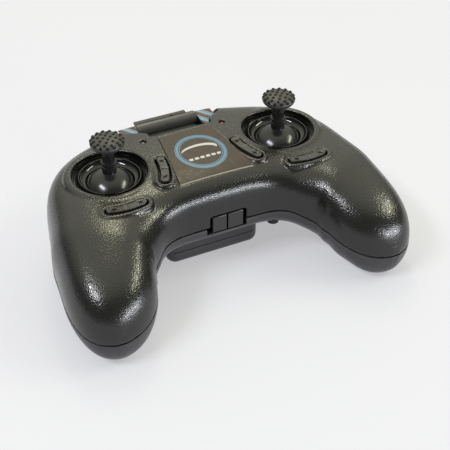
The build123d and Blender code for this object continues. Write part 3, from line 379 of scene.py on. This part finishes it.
JOIN_DISTANCE = 0.002 * MM
SHELL_VOXEL = 0.5 * MM
SMOOTHING_PASSES = 5
shell = soft_copy("upper_moulding", "top_shell", "housing")
voxels = shell.modifiers.new("voxels", "REMESH")
voxels.mode = "VOXEL"
voxels.voxel_size = SHELL_VOXEL
relax = shell.modifiers.new("relax", "SMOOTH")
relax.factor = 0.5
relax.iterations = SMOOTHING_PASSES
apply_modifiers(shell)
shell.data.shade_smooth()
shell.data.materials.clear()
shell.data.materials.append(LOOKS["upper_housing"])

GAP_WIDENING = 0.3 * MM
SOFT_EDGE = 0.22 * MM
SIDE_FACING = 0.35  # least sideways part of a point's normal on a side wall
BEVEL_ANGLE = math.radians(40)
CREASE_ANGLE = math.radians(35)
ROCKERS = [f"{side_name}_{way}_trim" for side_name in SIDES for way in ("vertical", "horizontal")]
KEYS = [f"{side_name}_front_key" for side_name in SIDES]
for node in ROCKERS + KEYS:
    rocker = node in ROCKERS
    widening = GAP_WIDENING if rocker else GAP_WIDENING / 3
    piece = soft_copy(f"{node}_moulding", node, node)
    for vertex in piece.data.vertices:
        sideways = Vector((vertex.normal.x, vertex.normal.y if rocker else 0.0, 0))
        if sideways.length > SIDE_FACING:
            vertex.co -= sideways.normalized() * widening
    rounding = piece.modifiers.new("rounding", "BEVEL")
    rounding.width = SOFT_EDGE
    rounding.segments = 2
    rounding.limit_method = "ANGLE"
    rounding.angle_limit = BEVEL_ANGLE
    rounding.use_clamp_overlap = True
    apply_modifiers(piece)
    piece.data.shade_smooth()
    piece.data.set_sharp_from_angle(angle=CREASE_ANGLE)


# ---- Stick caps and deck port ------------------------------------------------------------------
CAP_PROFILE = [
    (2.75, 55.65), (3.0, 56.1), (3.9, 56.7), (5.4, 57.4), (6.7, 58.3), (7.32, 59.3), (7.36, 60.1),
    (6.95, 60.9), (6.1, 61.45), (4.4, 61.95), (2.2, 62.2), (0.0, 62.24),
]
STUD_PROFILE = [(0.74, -0.5), (0.74, -0.05), (0.68, 0.14), (0.45, 0.24), (0.0, 0.26)]
STUD_ROWS = [(1.6, 4), (3.7, 8), (5.6, 12), (6.95, 15)]
CROWN_Z = 62.24
WIDEST_POINT = 6  # of CAP_PROFILE
CAP_SEGMENTS, STUD_SEGMENTS, PORT_SEGMENTS = 40, 10, 24


def lathe(bm, profile, segments, place):
    """Turned surface from (radius, height) points in millimetres, moved by the matrix place."""
    rings = []
    for radius, height in profile:
        count = segments if radius > 0 else 1
        turns = [2 * math.pi * index / segments for index in range(count)]
        points = [Vector((radius * math.cos(turn), radius * math.sin(turn), height)) for turn in turns]
        rings.append([bm.verts.new(place @ point) for point in points])
    for low, high in zip(rings, rings[1:]):
        for index in range(segments):
            after = (index + 1) % segments
            corners = [low[index], low[after], high[after % len(high)], high[index % len(high)]]
            bm.faces.new(dict.fromkeys(corners))
    bm.faces.new(reversed(rings[0]))


def finish_piece(name, bm, look, body, slot, *replaced, levels=0):
    """Piece from bm with its look, riding on body and standing for the replaced nodes."""
    mesh = bpy.data.meshes.new(name)
    bm.normal_update()
    bm.to_mesh(mesh)
    bm.free()
    mesh.shade_smooth()
    mesh.materials.append(LOOKS[look])
    piece = bpy.data.objects.new(name, mesh)
    bpy.context.scene.collection.objects.link(piece)
    if levels:
        rounding = piece.modifiers.new("rounding", "SUBSURF")
        rounding.levels = rounding.render_levels = levels
    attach(piece, body)
    if replaced:
        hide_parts(*replaced)


def crown_slope(radius):
    """Height of the cap's surface at radius, and its outward direction there, as (radial, up)."""
    for (far, low), (near, high) in zip(CAP_PROFILE[WIDEST_POINT:], CAP_PROFILE[WIDEST_POINT + 1:]):
        if near <= radius <= far:
            share = (far - radius) / (far - near)
            direction = Vector((high - low, far - near)).normalized()
            return low + share * (high - low), direction
    return CROWN_Z, Vector((0, 1))


ABOVE_DECK = 0.1  # metres, higher than any part
PORT_PLACE = (12.6, 33.2)
PORT_PROFILE = [(0.75, -0.6), (0.75, 0.0), (0.68, 0.05), (0.5, 0.02), (0.42, -0.25), (0.0, -0.3)]
bpy.context.view_layer.update()
start = Vector((PORT_PLACE[0] * MM, PORT_PLACE[1] * MM, ABOVE_DECK))
_, landing, deck_normal, _ = shell.ray_cast(start, Vector((0, 0, -1)))
tilt = deck_normal.to_track_quat("Z", "Y").to_matrix().to_4x4()
bm = bmesh.new()
lathe(bm, PORT_PROFILE, PORT_SEGMENTS, Matrix.Translation(landing) @ tilt @ Matrix.Scale(MM, 4))
finish_piece("deck_port", bm, "stud", "housing", "stud")

for side_name in SIDES:
    low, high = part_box(f"{side_name}_stick_cap")
    middle = Vector(((low[0] + high[0]) / 2, (low[1] + high[1]) / 2, 0))
    scale = Matrix.Translation(middle) @ Matrix.Scale(MM, 4)
    bm = bmesh.new()
    lathe(bm, CAP_PROFILE, CAP_SEGMENTS, scale)
    stick, cap = f"{side_name}_stick", f"{side_name}_stick_cap"
    finish_piece(f"{side_name}_cap_crown", bm, "cap", stick, "cap", cap, levels=1)
    bm = bmesh.new()
    for row, (radius, count) in enumerate(STUD_ROWS):
        height, (radial, upward) = crown_slope(radius)
        for index in range(count):
            turn = 2 * math.pi * (index + 0.5 * (row % 2)) / count
            out = Vector((radial * math.cos(turn), radial * math.sin(turn), upward))
            spot = Vector((radius * math.cos(turn), radius * math.sin(turn), height))
            tilt = out.to_track_quat("Z", "Y").to_matrix().to_4x4()
            lathe(bm, STUD_PROFILE, STUD_SEGMENTS, scale @ Matrix.Translation(spot) @ tilt)
    finish_piece(f"{side_name}_cap_dots", bm, "stud", stick, "stud", f"{side_name}_cap_studs")

# ---- Floor, light and camera -------------------------------------------------------------------
FLOOR_SIZE = 6.0
FLOOR_PATCH = 0.25
FLOOR_DARK, FLOOR_LIGHT = (0.284, 0.285, 0.318), (0.29, 0.291, 0.324)
FLOOR_GLOW, FLOOR_GLOW_STRENGTH = (1.0, 1.0, 1.02, 1.0), 0.425
bpy.ops.mesh.primitive_plane_add(size=FLOOR_SIZE)
floor = bpy.context.object
floor.name = "studio_floor"
paper = Shader("floor_paper", Roughness=0.9, Emission_Color=FLOOR_GLOW, Emission_Strength=FLOOR_GLOW_STRENGTH)
paper.use("Base Color", paper.mix(paper.noise(FLOOR_PATCH, 2), FLOOR_DARK, FLOOR_LIGHT))
floor.data.materials.append(paper.mat)

world = bpy.data.worlds.new("studio")
bpy.context.scene.world = world
world.use_nodes = True
SKY_LOW, SKY_HIGH = (0.17, 0.173, 0.18), (1.16, 1.16, 0.98)
CEILING_DIRECTION = (0.15, 0.47, 0.87)
CEILING_FADE = (0.35, 0.8)
sky = world.node_tree
heading = sky.nodes.new("ShaderNodeTexCoord").outputs["Generated"]
towards = sky.nodes.new("ShaderNodeVectorMath")
towards.operation = "DOT_PRODUCT"
towards.inputs[1].default_value = CEILING_DIRECTION
sky.links.new(heading, towards.inputs[0])
glow = sky.nodes.new("ShaderNodeMapRange")
glow.inputs["From Min"].default_value = CEILING_FADE[0]
glow.inputs["From Max"].default_value = CEILING_FADE[1]
sky.links.new(towards.outputs["Value"], glow.inputs["Value"])
blend = sky.nodes.new("ShaderNodeMix")
blend.data_type = "RGBA"
blend.inputs[6].default_value = (*SKY_LOW, 1.0)
blend.inputs[7].default_value = (*SKY_HIGH, 1.0)
sky.links.new(glow.outputs["Result"], blend.inputs[0])
sky.links.new(blend.outputs[2], sky.nodes["Background"].inputs["Color"])


LAMP_AIM = Vector((0, 0, 0.03))


def softbox(name, heading, reach, size, radiance, colour):
    """Rectangular light in a direction from the object's middle, turned towards it."""
    data = bpy.data.lights.new(name, "AREA")
    data.shape = "RECTANGLE"
    data.size, data.size_y = size
    data.energy = math.pi * size[0] * size[1] * radiance
    data.color = colour
    lamp = bpy.data.objects.new(name, data)
    bpy.context.scene.collection.objects.link(lamp)
    away = Vector(heading).normalized()
    lamp.location = away * reach + LAMP_AIM
    lamp.rotation_mode = "QUATERNION"
    lamp.rotation_quaternion = away.to_track_quat("Z", "Y")
    lamp.visible_camera = False


softbox("left_tube", (-0.6, -0.12, 0.74), 1.3, (0.56, 0.17), 34.0, (0.95, 0.96, 1.0))
softbox("right_tube", (0.7, -0.26, 0.62), 1.3, (0.7, 0.13), 21.0, (1.0, 1.0, 0.76))
softbox("rear_tube", (0.2, 0.52, 0.82), 1.4, (0.22, 0.55), 9.0, (1.0, 0.98, 0.66))
softbox("front_window", (0.52, -0.85, 0.05), 1.3, (0.95, 0.2), 21.0, (0.93, 0.95, 1.0))

CAMERA_PLACE = Vector((-0.1488, -0.3264, 0.2956))
CAMERA_DOWN = 0.666403926  # below level, in radians
CAMERA_TURN = -0.444787182  # anticlockwise from +Y, in radians
SENSOR_WIDTH, LENS, NEAR_CLIP = 36.0, 82.4, 0.01
look = Vector((
    -math.sin(CAMERA_TURN) * math.cos(CAMERA_DOWN),
    math.cos(CAMERA_TURN) * math.cos(CAMERA_DOWN),
    -math.sin(CAMERA_DOWN),
))
right = Vector((math.cos(CAMERA_TURN), math.sin(CAMERA_TURN), 0))
up = right.cross(look)
camera = bpy.data.objects.new("camera", bpy.data.cameras.new("camera"))
bpy.context.scene.collection.objects.link(camera)
camera.matrix_world = Matrix.Translation(CAMERA_PLACE) @ Matrix((right, up, -look)).transposed().to_4x4()
camera.data.sensor_width = SENSOR_WIDTH
camera.data.lens = LENS
camera.data.clip_start = NEAR_CLIP
bpy.context.scene.camera = camera
bpy.context.scene.view_settings.view_transform = "Standard"
